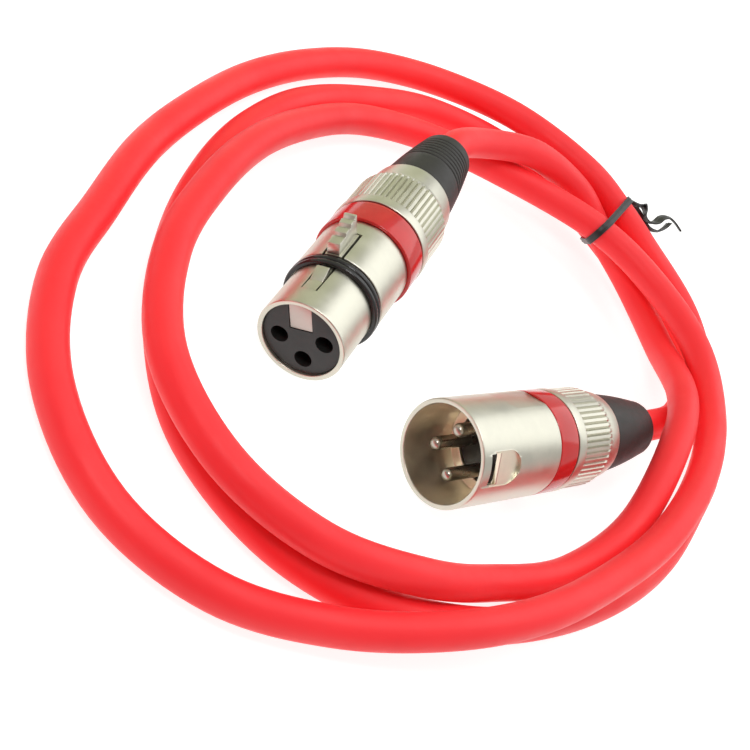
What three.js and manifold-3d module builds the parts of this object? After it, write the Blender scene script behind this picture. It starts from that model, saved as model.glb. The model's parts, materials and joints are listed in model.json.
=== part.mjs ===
// A coiled microphone cable with a three-pole female connector on one end and a male one on the other.
// Millimetres, +Z up. The coil lies on the plane z = 0 and the male connector lies along +X.
import * as THREE from 'three';
import { mergeVertices } from 'three/addons/utils/BufferGeometryUtils.js';
import Module from 'manifold-3d';

const wasm = await Module();
wasm.setup();

// ---- Driving dimensions ----
const CABLE_R = 3.15;
const GAP = 0.3;
const TURN_SEGMENTS = 28;
const SHELL_SEGMENTS = 40;
const HOLE_SEGMENTS = 12;

// Each connector is drawn along its own +X, from its mating face at x = 0 back to the boot's tip.
const MALE = {
  face: [-17.2, -28.0, 9.5],
  headingDeg: 0,
  pitchDeg: 0,
  rollDeg: 52,
};
const FEMALE = {
  face: [-35.7, -4.0, 8.0],
  headingDeg: 34.7,
  pitchDeg: 6,
  rollDeg: -38.5,
};

const PIN_CIRCLE_R = 4.1;
const PIN_R = 1.2;
const PIN_BORE_R = PIN_R + GAP;
const CONTACT_ANGLES_DEG = [90, -90, 180];
const JACKET_TO_TIP = 27.5;
const STRAIGHT_OUT = 5.0;
const BOOT_BORE_R = CABLE_R + GAP;
const BOOT_TIP_R = 5.2;
const NUT_R = 9.5;
const KNURL_R = 9.25;
const KNURL_ROOT_R = 8.85;
const KNURL_RIBS = 48;

const M = {
  shellR: 9.5,
  cupR: 8.6,
  seatR: 8.0,
  ledgeFront: 12.5,
  ledgeBack: 14.0,
  ledgeR: 6.7,
  windowDeg: -4.5,
  insertBack: 24.2,
  ringFront: 21.3,
  ringBack: 26.3,
  ringInnerR: 8.9,
  nutFront: 26.6,
  flangeBack: 29.2,
  knurlBack: 37.3,
  noseBack: 41.0,
  noseR: 8.3,
  tip: 57.5,
  tailR: 7.3,
  tailBack: 35.0,
};

const F = {
  barrelR: 8.0,
  boreR: 7.1,
  sealFront: 11.0,
  sealBack: 13.15,
  sealR: 8.9,
  bodyR: 8.8,
  ringFront: 24.8,
  ringBack: 30.4,
  ringR: 9.4,
  ringInnerR: 8.6,
  insertBack: 24.2,
  nutFront: 30.7,
  flangeBack: 33.3,
  knurlBack: 42.2,
  noseBack: 47.2,
  noseR: 8.1,
  tip: 65.5,
  tailR: 7.3,
  tailBack: 39.0,
};

const COLOURS = {
  nickel: { color: 0xcdcabb, roughness: 0.34, metalness: 1.0 },
  red: { color: 0xcc3232, roughness: 0.2, metalness: 0.0 },
  cable: { color: 0xff3c41, roughness: 0.5, metalness: 0.0 },
  rubber: { color: 0x3c3a37, roughness: 0.6, metalness: 0.0 },
  black: { color: 0x1c1c1c, roughness: 0.45, metalness: 0.0 },
  brass: { color: 0xc9b98a, roughness: 0.3, metalness: 1.0 },
  copper: { color: 0xb8734a, roughness: 0.4, metalness: 1.0 },
  white: { color: 0xe9e6e0, roughness: 0.5, metalness: 0.0 },
  blue: { color: 0x2f55a8, roughness: 0.5, metalness: 0.0 },
};

// ---- Solid helpers ----
function radians(degrees) {
  return THREE.MathUtils.degToRad(degrees);
}

function signedVolume(positions, indices) {
  const a = new THREE.Vector3();
  const b = new THREE.Vector3();
  const c = new THREE.Vector3();
  let total = 0;
  for (let i = 0; i < indices.length; i += 3) {
    a.fromArray(positions, indices[i] * 3);
    b.fromArray(positions, indices[i + 1] * 3);
    c.fromArray(positions, indices[i + 2] * 3);
    total += a.dot(b.cross(c)) / 6;
  }
  return total;
}

// A closed geometry as a solid, its faces turned outward.
function solid(geometry) {
  const bare = geometry.clone();
  for (const name of Object.keys(bare.attributes)) {
    if (name !== 'position') {
      bare.deleteAttribute(name);
    }
  }
  const merged = mergeVertices(bare, 1e-4);
  const positions = Float32Array.from(merged.attributes.position.array);
  const indices = Uint32Array.from(merged.index.array);
  if (signedVolume(positions, indices) < 0) {
    for (let i = 0; i < indices.length; i += 3) {
      [indices[i + 1], indices[i + 2]] = [indices[i + 2], indices[i + 1]];
    }
  }
  return new wasm.Manifold(new wasm.Mesh({ numProp: 3, vertProperties: positions, triVerts: indices }));
}

function union(first, ...others) {
  return others.reduce((sum, other) => sum.add(other), first);
}

function cut(first, ...others) {
  return others.reduce((rest, other) => rest.subtract(other), first);
}

function meshOf(name, body, look) {
  const result = body.getMesh();
  const geometry = new THREE.BufferGeometry();
  geometry.setAttribute('position', new THREE.BufferAttribute(Float32Array.from(result.vertProperties), 3));
  geometry.setIndex(new THREE.BufferAttribute(Uint32Array.from(result.triVerts), 1));
  geometry.computeVertexNormals();
  const mesh = new THREE.Mesh(geometry, new THREE.MeshStandardMaterial(look));
  mesh.name = name;
  return mesh;
}

// A profile of [x, radius] points turned about the X axis. It closes on itself or on the axis.
function turned(profile, segments = TURN_SEGMENTS) {
  const points = profile.map(([x, radius]) => new THREE.Vector2(radius, x));
  if (profile.every(([, radius]) => radius > 0)) {
    points.push(points[0].clone());
  }
  const geometry = new THREE.LatheGeometry(points, segments);
  geometry.rotateZ(-Math.PI / 2);
  return solid(geometry);
}

function rod(from, to, radius, segments = HOLE_SEGMENTS) {
  return turned([[from, 0], [from, radius], [to, radius], [to, 0]], segments);
}

// A flat shape drawn in Y and Z, extruded along X.
function alongX(shape, from, to, curveSegments = 8) {
  const geometry = new THREE.ExtrudeGeometry(shape, { depth: to - from, bevelEnabled: false, curveSegments });
  const basis = new THREE.Matrix4().makeBasis(
    new THREE.Vector3(0, 1, 0), new THREE.Vector3(0, 0, 1), new THREE.Vector3(1, 0, 0));
  geometry.applyMatrix4(basis);
  geometry.translate(from, 0, 0);
  return solid(geometry);
}

function block(xRange, yRange, zRange) {
  const size = [xRange, yRange, zRange].map(([low, high]) => high - low);
  const geometry = new THREE.BoxGeometry(...size);
  geometry.translate((xRange[0] + xRange[1]) / 2, (yRange[0] + yRange[1]) / 2, (zRange[0] + zRange[1]) / 2);
  return solid(geometry);
}

// An outline of [x, z] points with a width across Y, centred on the XZ plane.
function alongY(outline, halfWidth) {
  const shape = new THREE.Shape(outline.map(([x, z]) => new THREE.Vector2(x, z)));
  const geometry = new THREE.ExtrudeGeometry(shape, { depth: halfWidth * 2, bevelEnabled: false });
  geometry.rotateX(Math.PI / 2);
  geometry.translate(0, halfWidth, 0);
  return solid(geometry);
}

// A curved plate that follows a cylinder about the X axis, centred on +Z.
function curvedPlate(from, to, innerR, outerR, halfWidth) {
  const outerAngle = Math.asin(halfWidth / outerR);
  const innerAngle = Math.asin(halfWidth / innerR);
  const top = Math.PI / 2;
  const shape = new THREE.Shape();
  shape.absarc(0, 0, outerR, top - outerAngle, top + outerAngle, false);
  shape.absarc(0, 0, innerR, top + innerAngle, top - innerAngle, true);
  shape.closePath();
  return alongX(shape, from, to, 4);
}

// Where contact number i of a three-pole connector sits, seen from the latch side at +Z.
function contactPlace(i) {
  const angle = radians(CONTACT_ANGLES_DEG[i]);
  return [0, -Math.sin(angle) * PIN_CIRCLE_R, Math.cos(angle) * PIN_CIRCLE_R];
}

// ---- Pieces that both connectors share ----
// The back nut: a smooth flange, a knurled grip and a tapering nose around a stepped bore.
function backNut(name, at) {
  const threadR = at.tailR + GAP;
  const throatR = 6.9;
  const body = turned([
    [at.nutFront, threadR],
    [at.nutFront, NUT_R - 0.3],
    [at.nutFront + 0.3, NUT_R],
    [at.flangeBack - 0.3, NUT_R],
    [at.flangeBack, NUT_R - 0.3],
    [at.flangeBack, KNURL_ROOT_R - 0.4],
    [at.knurlBack - 0.2, KNURL_ROOT_R - 0.4],
    [at.knurlBack - 0.2, KNURL_ROOT_R - 0.1],
    [at.noseBack - 0.5, at.noseR + 0.15],
    [at.noseBack, at.noseR - 0.3],
    [at.noseBack, throatR],
    [at.tailBack + 0.8, throatR],
    [at.tailBack + 0.8, threadR],
  ]);
  return meshOf(name, union(body, knurl(at.flangeBack - 0.2, at.knurlBack)), COLOURS.nickel);
}

// A ring of triangular ribs that runs along the nut.
function knurl(from, to) {
  const shape = new THREE.Shape();
  const step = Math.PI * 2 / KNURL_RIBS;
  for (let i = 0; i < KNURL_RIBS; i += 1) {
    const angle = i * step;
    const place = i === 0 ? 'moveTo' : 'lineTo';
    shape[place](Math.cos(angle) * KNURL_R, Math.sin(angle) * KNURL_R);
    shape.lineTo(Math.cos(angle + step / 2) * KNURL_ROOT_R, Math.sin(angle + step / 2) * KNURL_ROOT_R);
  }
  shape.closePath();
  const bore = new THREE.Path();
  bore.absarc(0, 0, KNURL_ROOT_R - 0.6, 0, Math.PI * 2, true);
  shape.holes.push(bore);
  return alongX(shape, from, to, 6);
}

// The flexible boot: a skirt caught inside the nut's nose, then a tapering grip around the cable.
function boot(name, at, grooves) {
  const shoulder = at.noseBack + GAP;
  const baseR = at.noseR - 0.35;
  const skirtR = 6.5;
  const outline = [
    [at.tailBack + 3.4, BOOT_BORE_R],
    [at.tailBack + 3.4, skirtR],
    [shoulder, skirtR],
    [shoulder, baseR],
  ];
  const grooved = grooves > 0;
  const grooveStart = shoulder + 4.0;
  const grooveStep = 1.75;
  const radiusAt = (x) => THREE.MathUtils.lerp(baseR, BOOT_TIP_R, (x - shoulder) / (at.tip - 1.2 - shoulder));
  for (let i = 0; grooved && i < grooves; i += 1) {
    const x = grooveStart + i * grooveStep;
    outline.push([x, radiusAt(x)]);
    outline.push([x + 0.45, radiusAt(x) - 0.45]);
    outline.push([x + 0.9, radiusAt(x + 0.9)]);
  }
  outline.push([at.tip - 1.2, BOOT_TIP_R]);
  outline.push([at.tip - 0.3, BOOT_TIP_R - 0.5]);
  outline.push([at.tip, BOOT_TIP_R - 1.1]);
  outline.push([at.tip, BOOT_BORE_R]);
  return meshOf(name, turned(outline, 20), COLOURS.rubber);
}

// The strain-relief chuck: a collar with slotted jaws that the nut squeezes on to the cable.
function chuck(name, at) {
  const front = at.tip - JACKET_TO_TIP + 0.5;
  const back = at.tailBack + 2.8;
  const body = turned([
    [front, BOOT_BORE_R],
    [front, 5.6],
    [back - 3.0, 5.6],
    [back, 4.6],
    [back, BOOT_BORE_R],
  ], 16);
  const slots = [0, 90].map((degrees) => {
    const slot = block([front + 2.4, back + 1], [-6, 6], [-0.5, 0.5]);
    return slot.rotate([degrees, 0, 0]);
  });
  return meshOf(name, cut(body, ...slots), COLOURS.white);
}

function codingRing(name, front, back, innerR, outerR) {
  const edge = 0.25;
  const ring = turned([
    [front, innerR],
    [front, outerR - edge],
    [front + edge, outerR],
    [back - edge, outerR],
    [back, outerR - edge],
    [back, innerR],
  ]);
  return meshOf(name, ring, COLOURS.red);
}

// Three insulated cores splay from the cut end of the jacket to the three solder cups.
function cores(prefix, at, cupBack) {
  const jacket = at.tip - JACKET_TO_TIP;
  const looks = [COLOURS.copper, COLOURS.white, COLOURS.blue];
  const names = ['drain_wire', 'core_a', 'core_b'];
  return names.map((name, i) => {
    const [, y, z] = contactPlace(i);
    const spread = 1.3 / PIN_CIRCLE_R;
    const curve = new THREE.CatmullRomCurve3([
      new THREE.Vector3(jacket - GAP, y * spread, z * spread),
      new THREE.Vector3(jacket - 1.6, y * spread, z * spread),
      new THREE.Vector3(cupBack + 1.6, y, z),
      new THREE.Vector3(cupBack + GAP, y, z),
    ]);
    const section = new THREE.Shape();
    section.absarc(0, 0, 0.6, 0, Math.PI * 2, false);
    const geometry = new THREE.ExtrudeGeometry(section, {
      steps: 5,
      extrudePath: curve,
      curveSegments: 3,
      bevelEnabled: false,
    });
    return meshOf(`${prefix}_${name}`, solid(geometry), looks[i]);
  });
}

// ---- Male connector ----
// The shell: a mating cup, a seat for the insert and a threaded tail, with a latch window in the wall.
function maleShell() {
  const ringSeatR = M.ringInnerR - GAP;
  const body = turned([
    [0.15, M.cupR],
    [0, M.cupR + 0.15],
    [0, M.shellR - 0.2],
    [0.2, M.shellR],
    [M.ringFront - GAP, M.shellR],
    [M.ringFront - GAP, ringSeatR],
    [M.ringBack, ringSeatR],
    [M.ringBack, M.tailR],
    [M.tailBack, M.tailR],
    [M.tailBack, 6.2],
    [M.insertBack + GAP, 6.2],
    [M.insertBack + GAP, M.seatR],
    [M.ledgeBack, M.seatR],
    [M.ledgeBack, M.ledgeR],
    [M.ledgeFront, M.ledgeR],
    [M.ledgeFront, M.cupR],
  ], SHELL_SEGMENTS);
  return meshOf('male_shell', cut(body, latchRecess(), latchSlot(), sideFlat()), COLOURS.nickel);
}

// A shallow D-shaped recess on the outside of the male shell, at the latch side.
function latchRecess() {
  const front = 3.0;
  const length = 6.9;
  const half = 3.1;
  const shape = new THREE.Shape();
  shape.moveTo(front, -half);
  shape.lineTo(front + length - half, -half);
  shape.absarc(front + length - half, 0, half, -Math.PI / 2, Math.PI / 2, false);
  shape.lineTo(front, half);
  shape.closePath();
  const geometry = new THREE.ExtrudeGeometry(shape, { depth: 4, bevelEnabled: false, curveSegments: 8 });
  geometry.translate(0, 0, M.shellR - 0.55);
  return solid(geometry).rotate([M.windowDeg, 0, 0]);
}

// The slot through the wall that the female connector's latch drops into.
function latchSlot() {
  return block([2.0, 3.8], [-2.8, 2.8], [5, 12]).rotate([M.windowDeg, 0, 0]);
}

// A shallow flat on one side of the shell, which runs back under the coding ring.
function sideFlat() {
  return block([11.6, M.ringFront], [-3.6, 3.6], [M.shellR - 0.35, 12]).rotate([-85, 0, 0]);
}

// The insulating insert: a disc behind the shell's ledge, with a boss that fills the ledge's opening.
function maleInsert() {
  const disc = rod(M.ledgeBack + GAP, M.insertBack, M.seatR - GAP, TURN_SEGMENTS);
  const boss = rod(M.ledgeFront + 0.4, M.ledgeBack + 1, M.ledgeR - GAP, TURN_SEGMENTS);
  const bores = CONTACT_ANGLES_DEG.map((_, i) => {
    const [, y, z] = contactPlace(i);
    return rod(M.ledgeFront, M.insertBack + 1, PIN_BORE_R).translate([0, y, z]);
  });
  return meshOf('male_insert', cut(union(disc, boss), ...bores), COLOURS.black);
}

// A solid round pin with a domed tip and a solder cup at its back.
function malePin(i) {
  const [, y, z] = contactPlace(i);
  const tip = 2.2;
  const shoulder = M.insertBack + GAP;
  const back = shoulder + 2.4;
  const pin = turned([
    [tip, 0],
    [tip + 0.15, 0.6],
    [tip + 0.75, PIN_R],
    [shoulder, PIN_R],
    [shoulder, 1.55],
    [back, 1.55],
    [back, 1.0],
    [back - 1.8, 1.0],
    [back - 1.8, 0],
  ], 10);
  return meshOf(`male_pin_${i + 1}`, pin.translate([0, y, z]), COLOURS.nickel);
}

function buildMale() {
  const group = new THREE.Group();
  const cupBack = M.insertBack + GAP + 2.4;
  group.add(
    maleShell(),
    maleInsert(),
    malePin(0),
    malePin(1),
    malePin(2),
    codingRing('male_coding_ring', M.ringFront, M.ringBack, M.ringInnerR, M.shellR),
    ...cores('male', M, cupBack),
    chuck('male_chuck', M),
    backNut('male_back_nut', M),
    boot('male_boot', M, 0),
  );
  return group;
}

// ---- Female connector ----
const LATCH = {
  armHalf: 1.2,
  armFront: 4.4,
  plateBack: 20.8,
  plateHalf: 1.55,
  ridgeHalf: 1.15,
};

// The shell: a front barrel, a wider body and a threaded tail, with openings for the latch.
function femaleShell() {
  const ringSeatR = F.ringInnerR - GAP;
  const body = turned([
    [0.1, F.boreR],
    [0, F.boreR + 0.1],
    [0, F.barrelR - 0.15],
    [0.15, F.barrelR],
    [F.sealBack + GAP, F.barrelR],
    [F.sealBack + GAP, F.bodyR - 0.3],
    [F.sealBack + 0.6, F.bodyR],
    [F.ringFront - GAP, F.bodyR],
    [F.ringFront - GAP, ringSeatR],
    [F.ringBack, ringSeatR],
    [F.ringBack, F.tailR],
    [F.tailBack, F.tailR],
    [F.tailBack, 6.2],
    [F.insertBack + GAP, 6.2],
    [F.insertBack + GAP, F.boreR],
  ], SHELL_SEGMENTS);
  const armWindow = block(
    [LATCH.armFront - 0.3, F.sealBack + 1],
    [-LATCH.armHalf - 0.3, LATCH.armHalf + 0.3],
    [5, 12]);
  const plateWindow = block(
    [F.sealBack - 0.4, LATCH.plateBack + 0.35],
    [-LATCH.plateHalf - 0.45, LATCH.plateHalf + 0.45],
    [5, 12]);
  return meshOf('female_shell', cut(body, armWindow, plateWindow), COLOURS.nickel);
}

// The hook's ramp, and the treads and risers of the thumb ridge, as [x, z] points.
const HOOK_LINE = [[6.9, 7.4], [6.9, 7.85], [9.6, 8.8], [9.9, 8.7], [9.9, 7.4]];
const RIDGE_LINE = [
  [13.6, 8.3], [13.6, 9.2], [14.1, 10.7], [15.95, 11.0], [16.7, 11.3], [17.9, 11.5], [18.9, 12.0],
  [19.95, 11.9], [20.6, 12.4], [20.9, 12.4], [20.6, 8.3],
];

// The latch: an arm with a ramped hook, a curved plate behind the seal ring and a stepped thumb ridge.
function femaleLatch() {
  const arm = curvedPlate(LATCH.armFront, F.sealBack + 1.5, F.boreR + 0.1, F.barrelR - 0.1, LATCH.armHalf);
  const plate = curvedPlate(F.sealBack + GAP, LATCH.plateBack, F.bodyR - 1.1, F.bodyR, LATCH.plateHalf);
  const web = curvedPlate(F.sealBack + GAP, F.sealBack + 2, F.boreR + 0.2, F.bodyR - 0.5, LATCH.armHalf);
  const hook = alongY(HOOK_LINE, LATCH.armHalf - 0.01);
  const ridge = alongY(RIDGE_LINE, LATCH.ridgeHalf);
  return meshOf('female_latch', union(arm, plate, web, hook, ridge), COLOURS.nickel);
}

// The leaf spring that lifts the latch's plate.
function latchSpring() {
  const leaf = curvedPlate(15.0, 19.5, F.boreR - 1.4, F.boreR - 1.1, 1.2);
  return meshOf('female_latch_spring', leaf, COLOURS.brass);
}

// The insulating insert, with three contact bores and a keyway under the latch.
function femaleInsert() {
  const disc = rod(0.9, F.insertBack, F.boreR - GAP, TURN_SEGMENTS);
  const bores = CONTACT_ANGLES_DEG.map((_, i) => {
    const [, y, z] = contactPlace(i);
    return rod(0, F.insertBack + 1, 1.6).translate([0, y, z]);
  });
  const springPocket = block([9.0, F.insertBack + 1], [-2.2, 2.2], [5.2, 9]);
  const keyway = block([0, 9.5], [-2.3, 2.3], [1.6, 9]);
  return meshOf('female_insert', cut(disc, ...bores, springPocket, keyway), COLOURS.black);
}

// The light metal key that fills the insert's keyway at the mating face.
function faceKey() {
  const key = block([0.7, 9.2], [-2.05, 2.05], [1.85, 6.4]);
  return meshOf('female_face_key', key, COLOURS.nickel);
}

// A sprung tubular contact, open at its mouth, with a solder cup at its back.
function femaleContact(i) {
  const [, y, z] = contactPlace(i);
  const mouth = 3.0;
  const shoulder = F.insertBack + GAP;
  const back = shoulder + 2.4;
  const tube = turned([
    [back - 1.8, 0],
    [back - 1.8, 1.2],
    [back, 1.2],
    [back, 1.9],
    [shoulder, 1.9],
    [shoulder, 1.42],
    [mouth, 1.42],
    [mouth, 1.22],
    [mouth + 13, 1.22],
    [mouth + 13, 0],
  ], 10);
  return meshOf(`female_contact_${i + 1}`, tube.translate([0, y, z]), COLOURS.nickel);
}

// The black seal ring behind the front barrel.
function sealRing() {
  const middle = (F.sealFront + F.sealBack) / 2;
  const ring = turned([
    [F.sealFront, F.barrelR + GAP],
    [F.sealFront, F.sealR - 0.6],
    [F.sealFront + 0.45, F.sealR - 0.1],
    [middle, F.sealR],
    [F.sealBack - 0.45, F.sealR - 0.1],
    [F.sealBack, F.sealR - 0.6],
    [F.sealBack, F.barrelR + GAP],
  ]);
  return meshOf('female_seal_ring', ring, COLOURS.black);
}

function buildFemale() {
  const group = new THREE.Group();
  const cupBack = F.insertBack + GAP + 2.4;
  group.add(
    femaleShell(),
    femaleLatch(),
    latchSpring(),
    femaleInsert(),
    faceKey(),
    femaleContact(0),
    femaleContact(1),
    femaleContact(2),
    sealRing(),
    codingRing('female_coding_ring', F.ringFront, F.ringBack, F.ringInnerR, F.ringR),
    ...cores('female', F, cupBack),
    chuck('female_chuck', F),
    backNut('female_back_nut', F),
    boot('female_boot', F, 6),
  );
  return group;
}

// Lays a connector drawn along +X at its place, heading, pitch and roll.
function lay(group, place) {
  const angles = [place.rollDeg, -place.pitchDeg, place.headingDeg].map(radians);
  group.quaternion.setFromEuler(new THREE.Euler(...angles, 'ZYX'));
  group.position.set(...place.face);
  return group;
}

// ---- Cable ----
// Where the four strands pass through the twist tie.
const TIED = {
  inner: [69.7, 22.5, 8.2],
  left: [63.1, 18.9, 12.1],
  top: [75.2, 25.2, 12.3],
  low: [74.5, 24.9, 4.5],
};

// The route of the cable's centreline between its two straight ends, laid by hand: out of the female boot,
// through the tie, three turns on the plane, through the tie again and into the male boot.
const ROUTE = [
  [35.4, 38.8, 14.0], [51.6, 37.1, 14.0], [64.6, 30.1, 11.3], TIED.inner,
  [71.7, 8.6, 7.2], [67.2, -9.4, 8.6], [52.7, -25.9, 15.6], [38.7, -36.9, 15.8],
  [23.2, -47.9, 9.4], [5.2, -51.9, 4.8], [-14.3, -50.4, 5.2], [-33.3, -47.9, 9.0],
  [-51.3, -39.4, 10.0], [-62.3, -24.4, 9.6], [-64.3, -5.4, 9.2], [-55.8, 12.6, 9.8],
  [-41.8, 26.1, 10.0], [-25.8, 37.1, 9.0], [-7.8, 45.1, 7.0], [11.2, 49.6, 5.2],
  [30.2, 47.1, 5.0], [46.2, 36.6, 7.8], TIED.left, [68.7, 5.1, 13.8],
  [67.7, -13.9, 16.0], [57.7, -30.9, 16.4], [42.2, -43.4, 16.6], [24.7, -52.4, 14.2],
  [6.2, -56.9, 11.6], [-13.3, -58.9, 10.6], [-32.8, -56.9, 8.6], [-50.8, -50.9, 4.8],
  [-68.3, -41.4, 3.6], [-79.8, -25.9, 3.4], [-81.3, -6.4, 3.4], [-73.8, 11.6, 3.6],
  [-60.3, 25.6, 3.4], [-45.8, 39.1, 3.4], [-29.3, 50.1, 3.4], [-11.8, 59.1, 3.4],
  [6.7, 65.1, 3.4], [26.2, 67.6, 3.6], [44.7, 63.1, 5.8], [59.7, 51.1, 10.2],
  [70.7, 34.1, 13.0], TIED.top, [79.2, 16.1, 11.0], [85.2, -1.9, 8.4],
  [82.2, -19.9, 4.6], [70.2, -35.9, 3.4], [52.7, -45.9, 3.6], [34.7, -53.9, 3.4],
  [15.7, -57.9, 3.4], [-3.8, -58.4, 3.4], [-23.3, -55.4, 3.4], [-41.3, -47.9, 3.4],
  [-55.3, -34.4, 3.4], [-61.8, -15.9, 3.4], [-57.8, 3.1, 3.4], [-47.8, 20.1, 3.4],
  [-34.3, 34.6, 3.4], [-18.8, 46.1, 3.4], [-0.8, 54.1, 3.4], [18.7, 56.6, 3.6],
  [38.7, 56.1, 3.4], [56.2, 48.1, 4.2], [67.2, 36.1, 5.2], TIED.low,
  [79.2, -3.9, 5.2], [71.2, -18.4, 7.6], [58.2, -26.4, 9.0],
];

// Steps fall on the route's own points.
class Route extends THREE.CatmullRomCurve3 {
  getUtoTmapping(u) {
    return u;
  }
}

function axisOf(place) {
  const heading = radians(place.headingDeg);
  const pitch = radians(place.pitchDeg);
  return new THREE.Vector3(
    Math.cos(heading) * Math.cos(pitch), Math.sin(heading) * Math.cos(pitch), Math.sin(pitch));
}

// The straight stretch inside and just outside a boot, from the jacket's cut end outward.
function straightEnd(place, at) {
  const stations = [at.tip - JACKET_TO_TIP, at.tip - JACKET_TO_TIP / 2, at.tip, at.tip + STRAIGHT_OUT];
  const face = new THREE.Vector3(...place.face);
  return stations.map((x) => axisOf(place).multiplyScalar(x).add(face));
}

function cablePoints() {
  const middle = ROUTE.map((point) => new THREE.Vector3(...point));
  return [...straightEnd(FEMALE, F), ...middle, ...straightEnd(MALE, M).reverse()];
}

function cable() {
  const points = cablePoints();
  const section = new THREE.Shape();
  section.absarc(0, 0, CABLE_R, 0, Math.PI * 2, false);
  const geometry = new THREE.ExtrudeGeometry(section, {
    steps: points.length - 1,
    extrudePath: new Route(points),
    curveSegments: 4,
    bevelEnabled: false,
  });
  return meshOf('cable', solid(geometry), COLOURS.cable);
}

// ---- Twist tie ----
// The tie's own frame: X along the bundle, Y across it, Z up.
const TIE = {
  place: [70.7, 22.6],
  headingDeg: -63.2,
  width: 2.2,
  thickness: 0.5,
  tailR: 0.55,
};

function acrossTie([x, y, z]) {
  const heading = radians(TIE.headingDeg);
  const dx = x - TIE.place[0];
  const dy = y - TIE.place[1];
  return new THREE.Vector2(-dx * Math.sin(heading) + dy * Math.cos(heading), z);
}

// A string pulled round the outside strands at a given distance from their centres.
function loopShape(Kind, centres, distance) {
  const shape = new Kind();
  centres.forEach((centre, i) => {
    const before = centres[(i + centres.length - 1) % centres.length];
    const after = centres[(i + 1) % centres.length];
    const arrive = Math.atan2(centre.y - before.y, centre.x - before.x) - Math.PI / 2;
    const leave = Math.atan2(after.y - centre.y, after.x - centre.x) - Math.PI / 2;
    shape.absarc(centre.x, centre.y, distance, arrive, leave, false);
  });
  shape.closePath();
  return shape;
}

// The two tails' routes, from the knot.
const TAILS = [
  [
    [0.4, -0.4, -0.2], [2.4, 0.8, 0.2], [3.5, 2.9, 0.5], [4.6, 2.0, 0.3], [5.6, 0.7, -0.3], [7.0, 0.9, -0.4],
    [8.2, 2.9, 0.0], [8.5, 5.6, 0.6], [9.7, 8.1, 0.8], [11.5, 9.1, 0.6], [14.0, 9.3, 0.2],
  ],
  [
    [-0.5, -0.4, -0.2], [2.0, 0.6, -0.3], [4.0, 1.5, -0.9], [6.0, 1.4, -1.4],
    [8.0, 1.3, -1.6], [9.9, 2.9, -1.4], [10.7, 5.9, -1.0], [10.9, 9.1, -0.6],
  ],
];

function solidTail(points) {
  const curve = new THREE.CatmullRomCurve3(points.map((point) => new THREE.Vector3(...point)));
  const section = new THREE.Shape();
  section.absarc(0, 0, TIE.tailR, 0, Math.PI * 2, false);
  const geometry = new THREE.ExtrudeGeometry(section, {
    steps: 24,
    extrudePath: curve,
    curveSegments: 3,
    bevelEnabled: false,
  });
  return solid(geometry);
}

// A flat band round the bundle, with its two ends twisted together and curling away at the outside.
function twistTie() {
  const outside = [TIED.low, TIED.top, TIED.left].map(acrossTie);
  const inner = CABLE_R + GAP + 0.2;
  const band = loopShape(THREE.Shape, outside, inner + TIE.thickness);
  band.holes.push(loopShape(THREE.Path, outside, inner));
  const loop = alongX(band, -TIE.width / 2, TIE.width / 2, 4);
  const [, knotAt] = outside;
  const reach = inner + TIE.thickness;
  const knot = [0, knotAt.x + reach * 0.85, knotAt.y + reach * 0.55];
  const tails = TAILS.map((points) => solidTail(points).translate(knot));
  const core = new THREE.SphereGeometry(1.0, 8, 6);
  core.translate(...knot);
  const body = meshOf('twist_tie', union(loop, solid(core), ...tails), COLOURS.black);
  body.rotation.z = radians(TIE.headingDeg);
  body.position.set(TIE.place[0], TIE.place[1], 0);
  return body;
}

const model = new THREE.Group();
model.add(lay(buildMale(), MALE), lay(buildFemale(), FEMALE), cable(), twistTie());

export default model;
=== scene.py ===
"""A coiled red microphone cable with a female and a male three-pole connector, on a pale floor."""

import json
import math

import bmesh
import bpy
from mathutils import Matrix, Vector


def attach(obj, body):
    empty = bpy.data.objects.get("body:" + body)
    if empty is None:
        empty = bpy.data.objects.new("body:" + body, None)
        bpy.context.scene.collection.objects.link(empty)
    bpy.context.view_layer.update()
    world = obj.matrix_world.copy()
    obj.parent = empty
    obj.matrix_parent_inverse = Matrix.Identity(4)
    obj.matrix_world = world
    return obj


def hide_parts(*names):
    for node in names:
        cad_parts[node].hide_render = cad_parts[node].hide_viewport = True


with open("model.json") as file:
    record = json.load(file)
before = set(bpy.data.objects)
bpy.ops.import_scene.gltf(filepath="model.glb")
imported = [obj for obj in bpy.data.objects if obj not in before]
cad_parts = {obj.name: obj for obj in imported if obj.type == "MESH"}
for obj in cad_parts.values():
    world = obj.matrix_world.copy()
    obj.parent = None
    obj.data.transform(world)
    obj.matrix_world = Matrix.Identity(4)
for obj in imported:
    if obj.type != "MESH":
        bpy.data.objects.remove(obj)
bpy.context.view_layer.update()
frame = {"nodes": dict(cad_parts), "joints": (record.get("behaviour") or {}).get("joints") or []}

MM = 0.001
JOINTS = {joint["name"]: joint for joint in frame["joints"]}

# ---- Camera ----
CAMERA_AT = Vector((-186.8, -87.4, 148.53)) * MM
CAMERA_RIGHT = Vector((0.69485, -0.40199, 0.59631))
CAMERA_UP = Vector((0.04832, 0.85341, 0.51901))
CAMERA_LENS = 64.8


def make_camera():
    data = bpy.data.cameras.new("camera")
    data.sensor_width = 36.0
    data.lens = CAMERA_LENS
    data.clip_start = 0.01
    data.clip_end = 10.0
    camera = bpy.data.objects.new("camera", data)
    back = CAMERA_RIGHT.cross(CAMERA_UP)
    turn = Matrix((CAMERA_RIGHT, CAMERA_UP, back)).transposed()
    camera.matrix_world = Matrix.Translation(CAMERA_AT) @ turn.to_4x4()
    bpy.context.scene.collection.objects.link(camera)
    bpy.context.scene.camera = camera


make_camera()


# ---- Places of the two connectors ----
# Each connector is drawn along its own +X, in millimetres, from its mating face at x = 0 to its boot's tip,
# with its latch side at +Z.
MALE_HINGE_X = 30.0
MALE_ROLL = math.radians(52)
FEMALE_HINGE_X = 34.0


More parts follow.
